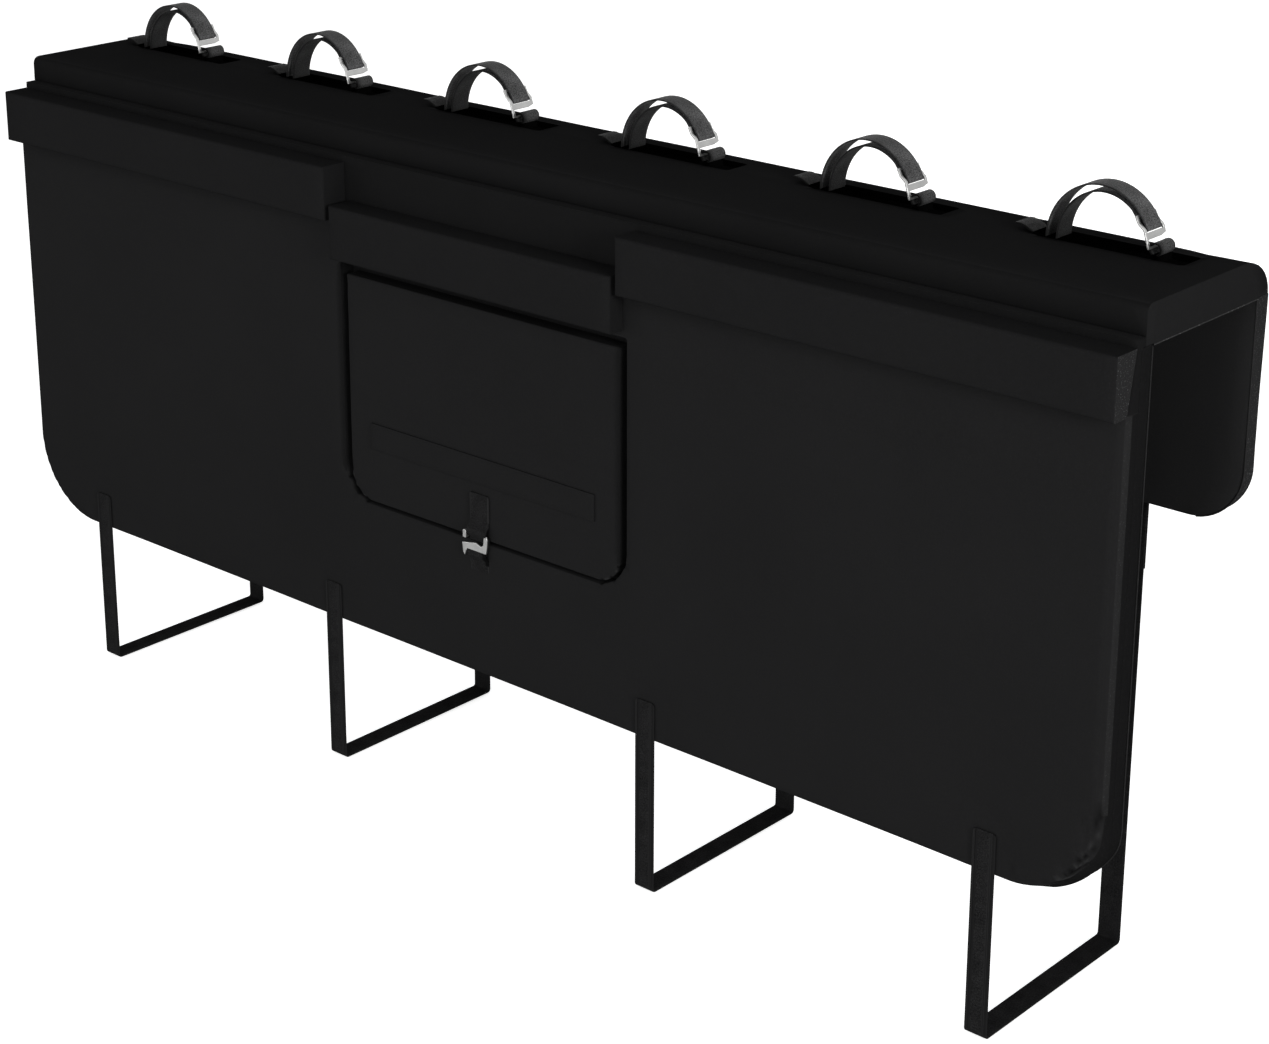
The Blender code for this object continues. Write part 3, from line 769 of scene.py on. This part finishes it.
panelShape = {
    "left": -0.775, "right": 0.775, "bottom": -0.5335, "top": 0.0099, "front": -0.1268, "back": -0.1088,
    "cornerLow": 0.097, "cornerSteps": 64, "frontRim": 0.0095, "flatTop": True,
    "lipFront": -0.1153, "ledgeBack": -0.1028, "ledgeFrom": 0.0012,
    "stepLow": -0.064, "stepHigh": -0.048,
    "rings": (0.004, 0.004), "pitch": 0.016, "pressure": 2.0, "cap": 0.0018, "along": 1,
    "tight": 0.2,            # the roll at the bottom and the left is this share of the right edge's
    "eased": 0.0195,         # how far in the faces beside the roll are eased out after it
    "fuller": 0.0078,        # how far the right corner stands out behind the front face
    "lipLow": -0.056, "lipBehind": -0.122, "coverTop": -0.0571,
    "rimBand": 0.015,        # the band along the outline where rim and lining show
    "coverDeep": 0.0045,     # how far the cover goes round the right corner
}
windowShape = {
    "left": -0.208, "right": 0.208, "bottom": -0.379, "top": -0.106, "front": -0.16, "back": -0.09,
    "cornerLow": 0.044, "cornerHigh": 0.003, "cornerSteps": 40, "frontRim": 0, "rim": 0.0008,
    "shadeLow": -0.35,       # the groove's shade ends above its corners
}
strapPlaces = [-0.653, -0.23508, 0.23508, 0.653]
besideStrap = 0.03


def panelFace(z, x=0.0):
    # the foam thins under the bumpers, and at the panel's ends it does so over their whole height
    spec = panelShape
    low, high = (-0.057, 0.003) if abs(x) > 0.764 else (spec["stepLow"], spec["stepHigh"])
    t = min(1.0, max(0.0, (z - low) / (high - low)))
    return spec["front"] + (spec["lipFront"] - spec["front"]) * t


def strapShare(p, low, high):
    # the cloth under a lower strap stays flat
    near = any(abs(p.x - place) < besideStrap for place in strapPlaces)
    return smoothStep(p.z, low, high) if near else 1.0


def panelShare(p):
    # how freely the panel's face may swell: not behind the bumpers, the straps or on its back
    if p.y > panelShape["back"] - 0.004:
        return 0.0
    return (1 - smoothStep(p.z, -0.135, -0.118)) * strapShare(p, -0.49, -0.45)


def tightenRim(bm, spec):
    # the front edge is rolled at the right and turns tighter round the corner to the bottom and left
    radius, rim = spec["cornerLow"], spec["frontRim"]
    for v in bm.verts:
        inner = Vector((max(spec["left"] + radius, min(spec["right"] - radius, v.co.x)), 0,
                        max(spec["bottom"] + radius, v.co.z)))
        away = Vector((v.co.x, 0, v.co.z)) - inner
        depth, behind = radius - away.length, v.co.y - spec["front"]
        share = spec["tight"] + (1 - spec["tight"]) * smoothStep(away.normalized().x, 0.72, 0.98)
        if away.length > radius * 0.5 and depth < rim + 1e-5 and behind < rim + 1e-5:
            v.co += away.normalized() * depth * (1 - share)
            v.co.y -= behind * (1 - share)
        elif rim < depth < spec["eased"] and abs(behind) < 1e-5:
            left = (spec["eased"] - depth) / (spec["eased"] - rim)
            v.co += away.normalized() * rim * (1 - share) * left


def fullerCorner(point, spec, depthShare=1.0):
    # the cover's lower right corner stands out a little past its round behind the front face
    radius = spec["cornerLow"]
    away = Vector((point.x - spec["right"] + radius, 0, point.z - spec["bottom"] - radius))
    if away.x < 0 or away.z > 0:
        return Vector((0, 0, 0))
    angle = math.degrees(math.atan2(-away.z, away.x))
    around = smoothStep(angle, 2, 30) * (1 - smoothStep(angle, 66, 88))
    near = smoothStep(away.length, radius * 0.6, radius)
    return away.normalized() * panelShape["fuller"] * around * near * depthShare


def panelFinish(face):
    # 0 the cover, 1 its rolled rim in painted highlight, 2 lining, 3 the lip behind the bumpers in painted
    # shade, 4 the lip's top in painted light
    spec, at = panelShape, face.center
    if at.z > spec["lipLow"]:
        if at.y <= spec["lipBehind"]:
            return 0
        return 4 if face.normal.z > 0.5 and at.z > 0 else 3
    radius, band = spec["cornerLow"], spec["rimBand"]
    right, low = spec["right"] - radius, spec["bottom"] + radius
    outer = max(abs(at.x) - spec["right"], spec["bottom"] - at.z) > -band
    corner = math.hypot(max(0, abs(at.x) - right), min(0, at.z - low)) > radius - band
    if at.z >= spec["coverTop"] or not (outer or corner):
        return 0
    if at.x > right + 0.002 and at.z < low:
        return 2 if at.y > spec["front"] + spec["coverDeep"] else 0
    return 2 if face.normal.y > -0.05 else 1 if face.normal.y > -0.72 else 0


def makeFrontPanel(spec):
    bm = carved(slab(spec), slab(windowShape))
    ringIn(bm, spec["front"], 0.002)
    hole, near = windowShape, 0.0005
    window = [e for e in bm.edges if all(abs(v.co.y - spec["front"]) < 1e-5 for v in e.verts)
              and all(abs(v.co.x) < hole["right"] + near for v in e.verts)
              and all(hole["bottom"] - near < v.co.z < hole["top"] + near for v in e.verts)
              and len(e.link_faces) == 2 and abs(e.calc_face_angle()) > 1]
    rounded(bm, window, windowShape["rim"], 2)
    ledge = spec["ledgeFrom"]
    sliceBy(bm, 2, [spec["stepLow"], -0.057, (spec["stepLow"] + spec["stepHigh"]) / 2, spec["stepHigh"],
                    ledge, ledge + 0.0005])
    sliceBy(bm, 0, spread(spec["left"], spec["right"], spec["pitch"]))
    sliceBy(bm, 2, spread(spec["bottom"], spec["stepLow"], spec["pitch"]))
    tightenRim(bm, spec)
    for v in bm.verts:
        v.co += fullerCorner(v.co, spec, smoothStep(v.co.y, spec["front"] + 0.001, spec["front"] + 0.012))
    for v in bm.verts:
        share = (panelFace(v.co.z, v.co.x) - spec["back"]) / (spec["front"] - spec["back"])
        if abs(v.co.y - spec["back"]) > 1e-6:
            v.co.y = spec["back"] + (v.co.y - spec["back"]) * share
        elif v.co.z > ledge + 0.0003:
            v.co.y = spec["ledgeBack"]
    finishes = [packCloth, rimHighlightCloth, liningCloth, shadeCloth, lipPaintedLightCloth]
    piece = finishPiece("frontPanel", bm, finishes, ["front_panel"])
    paintFaces(piece, panelFinish)
    swell(piece, spec, panelShare)
    radius = spec["cornerLow"]
    pucker(piece, {"centre": (spec["right"] - radius, spec["bottom"] + radius), "side": 1,
                   "radius": radius, "fade": 0.010, "pleats": 10.0, "from": (-4, 62), "inward": 0.0016,
                   "sink": 0.0026, "crest": 0.50, "fold": 0.80, "front": spec["front"], "depthFade": 0.008,
                   "outside": False, "lean": 1000, "loose": 0.6, "start": -1.11})
    radius = hole["cornerLow"]
    for side in (1, -1):
        centre = (side * (hole["right"] - radius), hole["bottom"] + radius)
        pucker(piece, {"centre": centre, "side": side, "radius": radius, "fade": 0.0025, "pleats": 6.4,
                       "from": (-6, 96), "inward": -0.0009, "sink": 0.0, "crest": 0.0, "fold": 0.7,
                       "front": spec["front"], "depthFade": 0.01, "outside": True})
    # painted shade along the window's left edge in the groove
    grooveEdge = hole["left"] - 0.001
    shadeEdge(piece, lambda x: 0.4 * (1 - smoothStep(abs(x - grooveEdge), 0.0008, 0.0035)))


makeFrontPanel(panelShape)
print("front panel ready")


liningShape = {
    "left": -0.775, "right": 0.775, "bottom": -0.5335, "top": 0.0012, "front": -0.1085, "back": -0.090,
    "cornerLow": 0.097, "cornerSteps": 32, "frontRim": 0.003, "backRim": 0.003,
    "pitch": 0.022, "pressure": 1.2, "cap": 0.0012, "along": 1,
}
liningHole = {
    "left": -0.177, "right": 0.177, "bottom": -0.348, "top": -0.137, "front": -0.13, "back": -0.07,
    "cornerLow": 0.033, "cornerHigh": 0.012, "cornerSteps": 12, "frontRim": 0,
}


def makeLining(spec):
    bm = carved(slab(spec), slab(liningHole))
    gridded(bm, spec)
    for v in bm.verts:
        v.co += fullerCorner(v.co, spec)
    piece = finishPiece("panelLining", bm, [liningCloth], ["panel_lining"])
    swell(piece, spec, lambda p: 0.0 if p.y < spec["back"] - 0.004 else 1 - smoothStep(p.z, -0.06, -0.03))


makeLining(liningShape)
print("lining ready")


topShape = {
    "pitch": 0.016, "pressure": 1.6, "cap": 0.0016, "along": 2, "top": 0.039, "half": 0.775,
    "slotLow": 0.0200, "slotHigh": 0.0540, "slotLeft": -0.066, "slotRight": 0.089, "slotDepth": 0.006,
}
strapCentres = [-0.65975, -0.39825, -0.13675, 0.12475, 0.38625, 0.64775]


def topShare(p):
    # flat where it lies on the tailgate and round each slot
    share = smoothStep(p.z, 0.010, 0.026)
    for centre in strapCentres:
        alongGap = max(centre + topShape["slotLeft"] - p.x, p.x - centre - topShape["slotRight"], 0)
        acrossGap = max(topShape["slotLow"] - p.y, p.y - topShape["slotHigh"], 0)
        share *= smoothStep(math.hypot(alongGap, acrossGap), 0.004, 0.02)
    return share


def topFinish(face):
    # 0 the cover, 1 a slot painted near black for its shade, 2 the shaded front edge
    spec, at = topShape, face.center
    inSlot = spec["slotLow"] - 1e-4 < at.y < spec["slotHigh"] + 1e-4
    if inSlot and spec["top"] - spec["slotDepth"] - 1e-4 < at.z < spec["top"] - 1e-4:
        return 1 if abs(at.x) < spec["half"] - 0.005 else 0
    return 2 if face.normal.y < -0.25 and at.y < -0.08 else 0


def makeTopPad(spec):
    bm = nodeCopy("top_pad")
    sliceBy(bm, 0, spread(-spec["half"], spec["half"], spec["pitch"]))
    sliceBy(bm, 1, spread(-0.1, 0.06, spec["pitch"]))
    piece = finishPiece("topPad", bm, [packCloth, slotShadeCloth, shadeCloth], ["top_pad"])
    paintFaces(piece, topFinish)
    swell(piece, spec, topShare)


makeTopPad(topShape)
print("top pad ready")


rearShape = {
    "left": -0.775, "right": 0.775, "bottom": -0.2226, "top": 0.0012, "front": 0.090, "back": 0.109,
    "cornerLow": 0.056, "cornerSteps": 20, "frontRim": 0.0015, "backRim": 0.0020,
    "pitch": 0.018, "pressure": 1.6, "cap": 0.0018, "along": 1,
    "thicker": 0.0028,       # towards its top
}


def makeRearFlap(spec):
    bm = slab(spec)
    gridded(bm, spec)
    for v in bm.verts:
        v.co.y += spec["thicker"] * smoothStep(v.co.z, -0.12, 0.0) * smoothStep(v.co.y, 0.1, 0.1085)
    piece = finishPiece("rearFlap", bm, [packCloth, innerPaintedLightCloth, endCloth], ["rear_flap"])
    # 1 the inner face in painted light, 2 the ends
    paintFaces(piece, lambda face: 1 if face.normal.y < -0.9 else
               2 if abs(face.normal.x) > 0.3 and face.normal.y < 0.6 else 0)
    swell(piece, spec, lambda p: (1 - smoothStep(p.z, -0.03, -0.006)) * strapShare(p, -0.16, -0.13))


makeRearFlap(rearShape)
print("rear flap ready")


bumperShape = {
    "front": -0.1478, "tall": 0.060, "edge": 0.0028, "gap": 0.0003, "pitch": 0.014,
    "pressure": 1.2, "cap": 0.0010, "along": 1,
    "free": 0.012, "held": 0.002,              # depths in front of its back
    "places": {"bumper_left": (-0.775, -0.2095, 0.0030), "bumper_right": (0.2095, 0.775, 0.0030),
               "bumper_centre": (-0.2030, 0.2030, -0.0385)},
}


def makeBumper(node, spec):
    left, right, top = spec["places"][node]
    bottom = top - spec["tall"]
    bm = bmesh.new()
    bmesh.ops.create_cube(bm, size=1)
    back = panelShape["front"] - spec["gap"]
    bmesh.ops.scale(bm, vec=(right - left, back - spec["front"], spec["tall"]), verts=bm.verts)
    middle = ((left + right) / 2, (back + spec["front"]) / 2, (top + bottom) / 2)
    bmesh.ops.translate(bm, vec=middle, verts=bm.verts)
    rim = [e for e in bm.edges if all(v.co.y < back - 0.001 for v in e.verts)]
    rounded(bm, rim, spec["edge"], 3)
    sliceBy(bm, 2, [z for z in (panelShape["stepLow"], panelShape["stepHigh"]) if bottom < z < top])
    sliceBy(bm, 0, spread(left, right, spec["pitch"]))
    sliceBy(bm, 2, spread(bottom, top, spec["pitch"]))
    for v in bm.verts:
        if abs(v.co.y - back) < 1e-6:
            v.co.y = panelFace(v.co.z, v.co.x) - spec["gap"]
    name = "bumper" + node.split("_")[1].capitalize()
    piece = finishPiece(name, bm, [bumperCloth, endCloth], [node])
    paintFaces(piece, lambda face: 1 if face.normal.x > 0.9 and face.center.x > 0.7 else 0)
    swell(piece, spec, lambda p: 1 - smoothStep(p.y, back - spec["free"], back - spec["held"]))


for bumperNode in bumperShape["places"]:
    makeBumper(bumperNode, bumperShape)
print("bumpers ready")


flapShape = {
    "left": -0.199, "right": 0.199, "bottom": -0.3750, "top": -0.1178, "front": -0.1268, "back": -0.1088,
    "cornerLow": 0.031, "cornerHigh": 0.002, "cornerSteps": 32, "frontRim": 0.0015, "rings": (0.0015,),
    "edgeSlices": (0.0045, 0.009),             # for the shade at its right edge
    "pitch": 0.012, "pressure": 1.6, "cap": 0.0012, "along": 1,
}
patchShape = {
    "left": -0.165, "right": 0.165, "top": -0.282, "bottom": -0.312, "back": -0.1268, "thick": 0.0021,
    "edge": 0.0004,
}


def makeAccessFlap(spec):
    bm = slab(spec)
    gridded(bm, spec, [spec["right"] - inset for inset in spec["edgeSlices"]])
    piece = finishPiece("accessFlap", bm, [packCloth], ["access_flap"])
    swell(piece, spec, lambda p: 0.0 if p.y > -0.112 else smoothStep(p.z, -0.275, -0.24))
    radius = spec["cornerLow"]
    for side in (1, -1):
        pucker(piece, {"centre": (side * (spec["right"] - radius), spec["bottom"] + radius), "side": side,
                       "radius": radius, "fade": 0.003, "pleats": 6.4, "from": (-6, 96), "inward": 0.0007,
                       "sink": 0.0008, "crest": 0.3, "fold": 0.8, "front": spec["front"], "depthFade": 0.01,
                       "outside": False})
    # painted shade along the flap's right edge in the groove
    shadeEdge(piece, lambda x: 0.42 * (1 - smoothStep(spec["right"] - x, 0, 0.009)))


def makePatch(spec):
    bm = uprightGrid(spec, spec["back"] - spec["thick"] / 2, 40, 6)
    piece = finishPiece("flapPatch", bm, [packCloth], ["flap_patch"])
    wall = piece.modifiers.new("wall", "SOLIDIFY")
    wall.thickness = spec["thick"]
    wall.offset = 0
    softEdge(piece, spec["edge"], 30)


makeAccessFlap(flapShape)
makePatch(patchShape)
print("access flap ready")


lowerShape = {"width": 0.0254, "thick": 0.002, "front": -0.1281, "rear": 0.1103, "bottom": -0.707,
              "frontTop": -0.4905, "rearTop": -0.1796, "bend": 0.004, "tabY": 0.1126, "tabBottom": -0.2996,
              "roundEnd": 0.004}

for number, place in enumerate(strapPlaces, 1):
    route = [(lowerShape["front"], lowerShape["frontTop"]), (lowerShape["front"], lowerShape["bottom"]),
             (lowerShape["rear"], lowerShape["bottom"]), (lowerShape["rear"], lowerShape["rearTop"])]
    loop = strap(f"lowerStrap{number}", roundedPath(route, lowerShape["bend"]), 0, place, lowerShape,
                 lowerWebbing, [f"lower_strap_{number}"])
    # painted shade: the rear leg darker towards the back
    paintedShading(loop, lambda p: 0.25 * smoothStep(p.y, 0.09, 0.108))
    route = [(lowerShape["tabY"], lowerShape["rearTop"]), (lowerShape["tabY"], lowerShape["tabBottom"])]
    tab = strap(f"rearTab{number}", route, 0, place, lowerShape, lowerWebbing, [f"rear_tab_{number}"])
    # painted shade: the rear tab evenly darker
    paintedShading(tab, lambda p: 0.3)

flapStrapShape = {"width": 0.028, "thick": 0.002, "low": -0.1281, "high": -0.1329, "middle": -0.3785,
                  "heights": (0.0202, 0.0155, 0.0105, 0.00475, 0.0005), "roundEnd": 0.004, "across": 14}
flapEnds = (("flapStrap", "flap_strap", -0.3235, 1), ("flapAnchor", "flap_anchor", -0.412, -1))
for name, node, end, side in flapEnds:
    spec = flapStrapShape
    depths = (spec["low"], spec["high"], spec["high"], spec["low"], spec["low"])
    route = [(spec["low"], end)] + [(spec["low"], spec["middle"] + side * z) for z in (0.0250, 0.0244)]
    route += [(y, spec["middle"] + side * z) for y, z in zip(depths, spec["heights"])]
    piece = strap(name, route, 0, 0.0, spec, lowerWebbing, [node])
    # painted shadow: a near-black strip at the anchor's right edge below the buckle
    paintedShading(piece, lambda p: 0.97 if p.x > 0.0085 and -0.4032 < p.z < -0.388 else 0.0)
print("lower webbing ready")


archShape = {
    "y": 0.0340, "top": 0.039, "width": 0.0254, "thick": 0.0015,
    "half": 0.0560, "rise": 0.0595, "reach": 31,
    "innerHalf": 0.0472, "innerRise": 0.0521, "innerShift": 0.0038, "innerReach": 52,
    "foldOuter": (0.0500, 0.0246), "foldInner": (0.0473, 0.0231), "foot": -0.0027,
}
baseShape = {
    "y": 0.0340, "width": 0.0254, "thick": 0.0016, "right": 0.085, "floor": 0.0341, "shadedBelow": 0.0416,
    "loop": (0.0590, 0.0478), "radius": 0.0056, "neck": 0.0026,
    "lie": 0.0401, "edge": -0.0665, "dip": (-0.040, -0.028),
    "tab": ((-0.0890, 0.0466), (-0.0840, 0.0468), (-0.0785, 0.0455), (-0.0735, 0.0428), (-0.0695, 0.0408)),
}


def archPath(spec):
    half = spec["thick"] / 2
    outer = arcPoints(0, 0, spec["half"] - half, spec["rise"] - half, 180, spec["reach"], 34)
    inner = arcPoints(spec["innerShift"], 0, spec["innerHalf"] + half, spec["innerRise"] + half,
                      spec["innerReach"], 180, 30)
    leftFoot = (half - spec["half"], spec["foot"])
    rightFoot = (spec["innerShift"] - spec["innerHalf"] - half, spec["foot"])
    return [leftFoot, *outer, spec["foldOuter"], spec["foldInner"], *inner, rightFoot]


def loopPath(spec):
    # a raised end on the pad, down into the slot, up and round the buckle's lower bar, on to the slot's end
    cx, cz = spec["loop"]
    neck, radius, floor = spec["neck"], spec["radius"], spec["floor"]
    lean = math.degrees(math.asin(neck / radius))
    ring = arcPoints(cx, cz, radius, radius, 270 - lean, -90 + lean, 28)
    start, end = spec["dip"]
    dipped = [(start + (end - start) * t / 6, spec["lie"] - 0.0015
               + (floor - spec["lie"] + 0.0015) * smoothStep(t / 6, 0, 1)) for t in range(7)]
    return [*spec["tab"], (spec["edge"], spec["lie"] - 0.0003), *dipped,
            (cx - neck - 0.002, floor), (cx - neck, floor + 0.002), *ring,
            (cx + neck, floor + 0.002), (cx + neck + 0.002, floor), (spec["right"], floor)]


def archPaintedShading(p, centre):
    # painted shade at the foot and over the crown, painted light where it comes down to the buckle and on
    # the outer layer's left leg, near-black painted shade down in the slot
    x, z = p.x - centre, p.z - 0.039
    foot = 1 - smoothStep(z, 0.0, 0.034)
    pale = smoothStep(x, 0.010, 0.036)
    outer = 0.9 * smoothStep(math.hypot(x / 0.0552, z / 0.0587), 0.92, 0.98)
    outer *= 1 - smoothStep(x, -0.03, 0.0)
    leg = (0.68 + 0.17 * foot - outer * smoothStep(z, 0.004, 0.02)) * (1 - pale) + 0.04 * pale
    inSlot = 1 - smoothStep(z, -0.001, 0.006)
    return leg + (0.94 - leg) * inSlot


buckleEdge = 0.0004


def makeBuckle(name, bm, node):
    piece = finishPiece(name, bm, [buckleSteel], [node], 30)
    softEdge(piece, buckleEdge, 40)


for number, centre in enumerate(strapCentres, 1):
    spec = archShape
    path = [(centre + x, spec["top"] + z) for x, z in archPath(spec)]
    arch = strap(f"topStrap{number}", path, 1, spec["y"], spec, strapWebbing, [f"top_strap_{number}"],
                 closed=True)
    paintedShading(arch, lambda p: archPaintedShading(p, centre))
    path = [(centre + x, z) for x, z in loopPath(baseShape)]
    loop = strap(f"strapLoop{number}", path, 1, baseShape["y"], baseShape, loopWebbing,
                 [f"strap_base_{number}", f"strap_tab_{number}"])
    # painted shade: right of the centre the loop's near edge is darkened, left of it the whole loop, most
    # past the raised tab
    paintedShading(loop, lambda p: 0.9 * (1 - smoothStep(p.y, 0.0235, 0.0290)) if p.x > centre else
        0.76 + 0.20 * smoothStep(p.x, centre - 0.078, centre - 0.068))
    makeBuckle(f"strapBuckle{number}", nodeCopy(f"strap_buckle_{number}"), f"strap_buckle_{number}")
print("top straps ready")


flapBuckleShape = {
    "front": -0.1331, "back": -0.1309, "deep": -0.1275,
    "hook": ((-0.0216, -0.3823), (-0.0100, -0.3802), (-0.0012, -0.3785), (0.0063, -0.3811),
             (0.0098, -0.3790), (0.0110, -0.3695), (0.0147, -0.3679), (0.0158, -0.3722),
             (0.0152, -0.3800), (0.0135, -0.3906), (0.0083, -0.3915), (0.0084, -0.3880),
             (-0.0157, -0.3899), (-0.0181, -0.3964), (-0.0203, -0.3935)),
    "prong": ((-0.0205, -0.3680), (-0.0180, -0.3669), (-0.0158, -0.3680), (-0.0158, -0.3762),
              (-0.0205, -0.3762)),
}


def makeFlapBuckle(spec):
    bm = bmesh.new()
    for outline, back in (("hook", spec["back"]), ("prong", spec["deep"])):
        corners = [bm.verts.new((x, spec["front"], z)) for x, z in spec[outline]]
        face = bm.faces.new(corners)
        pushed(bm, [face], back - spec["front"])
    bmesh.ops.recalc_face_normals(bm, faces=bm.faces)
    makeBuckle("flapBuckle", bm, "flap_buckle")


makeFlapBuckle(flapBuckleShape)


pipingShape = {
    "radius": 0.0007, "x": 0.7748, "corner": 0.097, "bottom": -0.5335, "y": -0.0905, "half": 0.0895,
    "top": -0.001, "flapCorner": 0.056, "flapLow": -0.1666, "flapY": 0.0902,
}


def makePiping(spec):
    bm = bmesh.new()
    inset = spec["x"] - spec["corner"]
    low = spec["bottom"] + spec["corner"]
    right = arcPoints(inset, low, spec["corner"], spec["corner"], 0, -90, 24)
    left = arcPoints(-inset, low, spec["corner"], spec["corner"], -90, -180, 24)
    outline = [(spec["x"], spec["top"]), (spec["x"], -0.2), *right, *left,
               (-spec["x"], -0.2), (-spec["x"], spec["top"])]
    path = [Vector((x, spec["y"], z)) for x, z in outline]
    corner = {"cornerLow": spec["corner"], "right": spec["x"], "bottom": spec["bottom"]}
    tube(bm, [point + fullerCorner(point, corner) for point in path], spec["radius"])
    for side in (1, -1):
        ends = [(side * spec["x"], y, 0.0) for y in (-spec["half"], 0.0, spec["half"])]
        tube(bm, ends, spec["radius"])
        turn = spec["flapCorner"]
        flap = arcPoints(side * (spec["x"] - turn), spec["flapLow"], side * turn, turn, 0, -80, 12)
        outline = [(side * spec["x"], spec["top"]), (side * spec["x"], -0.09), *flap]
        tube(bm, [(x, spec["flapY"], z) for x, z in outline], spec["radius"])
    piece = finishPiece("edgePiping", bm, [pipingCloth, seamCloth], [], 60)
    paintFaces(piece, lambda face: 1 if abs(face.center.y) < 0.089 else 0)


makePiping(pipingShape)


stitchShape = {"pitch": 0.0042, "thread": 0.0007, "inset": 0.003, "strapHalf": 0.0100}


def stitchBox(bm, centre, y, half, low, high, spec):
    # stitches round a rectangle on an upright face
    corners = ((-half, high), (half, high), (half, low), (-half, low), (-half, high))
    stitchRow(bm, [(centre + x, y, z) for x, z in corners], (0, math.copysign(1, y), 0), spec)


def makeStitching(spec):
    bm = bmesh.new()
    patch, loop, inset = patchShape, lowerShape, spec["inset"]
    stitchBox(bm, 0, patch["back"] - patch["thick"], patch["right"] - inset, patch["bottom"] + inset,
              patch["top"] - inset, spec)
    for place in strapPlaces:
        stitchBox(bm, place, loop["front"] - loop["thick"] / 2, spec["strapHalf"],
                  panelShape["bottom"] + 0.010, loop["frontTop"] - inset, spec)
        stitchBox(bm, place, loop["tabY"] + loop["thick"] / 2, spec["strapHalf"],
                  rearShape["bottom"] + 0.008, loop["rearTop"] - inset, spec)
    finishPiece("stitching", bm, [threadCotton], [], 60)


makeStitching(stitchShape)
print("piping and stitching ready")
